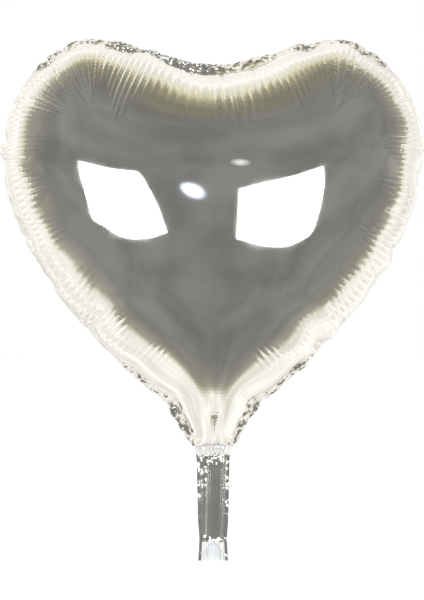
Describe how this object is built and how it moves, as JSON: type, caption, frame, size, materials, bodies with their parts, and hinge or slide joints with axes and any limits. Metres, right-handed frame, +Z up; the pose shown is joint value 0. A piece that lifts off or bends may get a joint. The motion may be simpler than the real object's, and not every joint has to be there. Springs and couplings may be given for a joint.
{
  "type": "heart-shaped foil balloon",
  "caption": "Inflated heart-shaped mirror foil balloon with a puckered welded seam, self-sealing valve films and a flat hanging filling tail.",
  "frame": {"origin": "point of the neck where a ribbon is tied, on the middle plane between the two foil sheets", "axes": "+Z up through the middle of the heart, -Y towards the front sheet, +X to the right seen from the front"},
  "size_m": [0.381, 0.19, 0.473],
  "materials": {
    "mirror_foil": "mirror-bright metallised film, finely ribbed near the seam",
    "welded_foil": "bright crinkled heat-welded foil",
    "clear_film": "thin clear polyethylene"
  },
  "bodies": {
    "heart": {"front_foil": "mirror_foil", "rear_foil": "mirror_foil", "seam_flange": "welded_foil"},
    "valve_front": {"valve_front_lip": "clear_film"},
    "valve_rear": {"valve_rear_lip": "clear_film"},
    "neck": {"neck_front_ply": "mirror_foil", "neck_rear_ply": "mirror_foil", "neck_front_film": "clear_film", "neck_rear_film": "clear_film"},
    "tail": {"tail_front_ply": "mirror_foil", "tail_rear_ply": "mirror_foil", "tail_left_weld": "welded_foil", "tail_right_weld": "welded_foil", "tail_front_film": "clear_film", "tail_rear_film": "clear_film"},
    "tail_end": {"end_left_weld": "welded_foil", "end_right_weld": "welded_foil"},
    "mouth_front": {"mouth_front_ply": "mirror_foil", "mouth_front_film": "clear_film"},
    "mouth_rear": {"mouth_rear_ply": "mirror_foil", "mouth_rear_film": "clear_film"}
  },
  "joints": [
    {"name": "neck_fold", "type": "hinge", "parent": "heart", "child": "neck", "pos_m": [0, 0, 0.0053], "axis": [1, 0, 0], "range_deg": [-85, 85]},
    {"name": "tail_sway", "type": "hinge", "parent": "neck", "child": "tail", "pos_m": [0, 0, 0.002], "axis": [0, 1, 0], "range_deg": [-20, 20]},
    {"name": "end_fold", "type": "hinge", "parent": "tail", "child": "tail_end", "pos_m": [0, 0, -0.076], "axis": [1, 0, 0], "range_deg": [-90, 90]},
    {"name": "mouth_front_open", "type": "hinge", "parent": "tail_end", "child": "mouth_front", "pos_m": [0, -0.00065, -0.0775], "axis": [-1, 0, 0], "range_deg": [0, 20], "stiffness_Nm_per_rad": 0.0005},
    {"name": "mouth_rear_open", "type": "hinge", "parent": "tail_end", "child": "mouth_rear", "pos_m": [0, 0.00065, -0.0775], "axis": [1, 0, 0], "range_deg": [0, 20], "stiffness_Nm_per_rad": 0.0005},
    {"name": "valve_front_open", "type": "hinge", "parent": "heart", "child": "valve_front", "pos_m": [0, -0.00022, 0.0105], "axis": [1, 0, 0], "range_deg": [0, 4], "stiffness_Nm_per_rad": 0.001},
    {"name": "valve_rear_open", "type": "hinge", "parent": "heart", "child": "valve_rear", "pos_m": [0, 0.00022, 0.0105], "axis": [-1, 0, 0], "range_deg": [0, 4], "stiffness_Nm_per_rad": 0.001}
  ],
  "couplings": [
    {"joint": "mouth_rear_open", "follows": "mouth_front_open", "ratio": 1},
    {"joint": "valve_rear_open", "follows": "valve_front_open", "ratio": 1}
  ]
}
